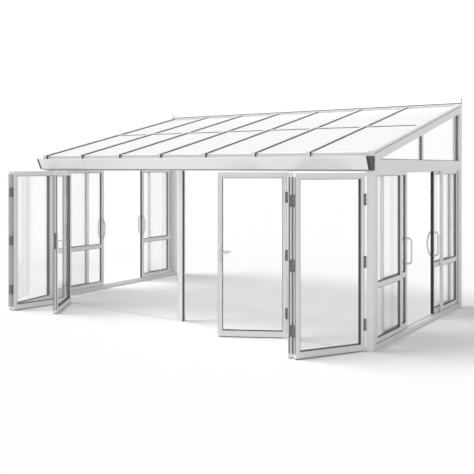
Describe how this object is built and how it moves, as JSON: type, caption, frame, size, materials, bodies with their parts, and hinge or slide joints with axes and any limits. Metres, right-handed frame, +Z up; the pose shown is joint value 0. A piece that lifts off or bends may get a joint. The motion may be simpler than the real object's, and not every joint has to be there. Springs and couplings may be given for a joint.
{
  "type": "lean-to glass conservatory",
  "caption": "Lean-to conservatory with a glazed sloping roof, folding glass doors across the front, sliding glass side walls and a gutter, open at the house side.",
  "frame": {"origin": "on the middle post's foot, on the floor, in line with the centres of the corner posts", "axes": "+X to the right along the front, +Y back to the house wall, +Z up"},
  "size_m": [5.812, 4.1588, 3.225],
  "materials": {
    "white_frame": "satin white powder coat",
    "clear_glass": "clear glass",
    "roof_glass": "clear glass",
    "dark_cap": "satin dark grey",
    "handle_metal": "brushed"
  },
  "bodies": {
    "frame": {"front_corner_post_left": "white_frame", "front_corner_post_right": "white_frame", "middle_post": "white_frame", "back_post_left": "white_frame", "back_post_right": "white_frame", "threshold_left": "white_frame", "threshold_right": "white_frame", "eaves_beam": "white_frame", "gutter": "white_frame", "gutter_cap_left": "dark_cap", "gutter_cap_right": "dark_cap", "wall_plate": "white_frame", "end_rafter_left": "white_frame", "end_rafter_right": "white_frame", "rafter_1": "white_frame", "rafter_2": "white_frame", "rafter_3": "white_frame", "rafter_4": "white_frame", "rafter_5": "white_frame", "rafter_6": "white_frame", "roof_crossbar": "white_frame", "roof_glass_lower": "roof_glass", "roof_glass_upper": "roof_glass", "side_beam_left": "white_frame", "side_beam_right": "white_frame", "gable_glass_left": "clear_glass", "gable_glass_right": "clear_glass", "side_screen_left": "white_frame", "side_screen_right": "white_frame", "fixed_glass_left_front": "clear_glass", "fixed_glass_left_back": "clear_glass", "fixed_glass_right_front": "clear_glass", "fixed_glass_right_back": "clear_glass", "folding_leaf_outer_left": "white_frame", "folding_leaf_inner_left": "white_frame", "door_leaf_left": "white_frame", "folding_leaf_outer_right": "white_frame", "folding_leaf_inner_right": "white_frame", "door_leaf_right": "white_frame", "folding_leaf_outer_left_glass": "clear_glass", "folding_leaf_inner_left_glass": "clear_glass", "door_leaf_left_glass": "clear_glass", "folding_leaf_outer_right_glass": "clear_glass", "folding_leaf_inner_right_glass": "clear_glass", "door_leaf_right_glass": "clear_glass"},
    "slider_left_front": {"sliding_leaf_left_front": "white_frame", "sliding_glass_left_front": "clear_glass", "pull_handle_left_front": "handle_metal"},
    "slider_left_back": {"sliding_leaf_left_back": "white_frame", "sliding_glass_left_back": "clear_glass", "pull_handle_left_back": "handle_metal"},
    "slider_right_front": {"sliding_leaf_right_front": "white_frame", "sliding_glass_right_front": "clear_glass", "pull_handle_right_front": "handle_metal"},
    "slider_right_back": {"sliding_leaf_right_back": "white_frame", "sliding_glass_right_back": "clear_glass", "pull_handle_right_back": "handle_metal"},
    "lever_left": {"lever_handle_left": "handle_metal"},
    "lever_right": {"lever_handle_right": "handle_metal"}
  },
  "joints": [
    {"name": "slide_left_front", "type": "slide", "parent": "frame", "child": "slider_left_front", "axis": [0, 1, 0], "range_m": [-0.266, 0.4525]},
    {"name": "slide_left_back", "type": "slide", "parent": "frame", "child": "slider_left_back", "axis": [0, 1, 0], "range_m": [-0.5255, 0.125]},
    {"name": "slide_right_front", "type": "slide", "parent": "frame", "child": "slider_right_front", "axis": [0, 1, 0], "range_m": [-0.244, 0.4745]},
    {"name": "slide_right_back", "type": "slide", "parent": "frame", "child": "slider_right_back", "axis": [0, 1, 0], "range_m": [-0.4955, 0.155]},
    {"name": "lever_left_turn", "type": "hinge", "parent": "frame", "child": "lever_left", "pos_m": [-1.82369, -0.74317, 1.07], "axis": [-0.8171, -0.5764, 0], "range_deg": [0, 40], "stiffness_Nm_per_rad": 1.5, "springref_deg": -28.65},
    {"name": "lever_right_turn", "type": "hinge", "parent": "frame", "child": "lever_right", "pos_m": [0.96673, -0.45627, 1.07], "axis": [-0.4939, 0.8695, 0], "range_deg": [0, 40], "stiffness_Nm_per_rad": 1.5, "springref_deg": -28.65}
  ]
}
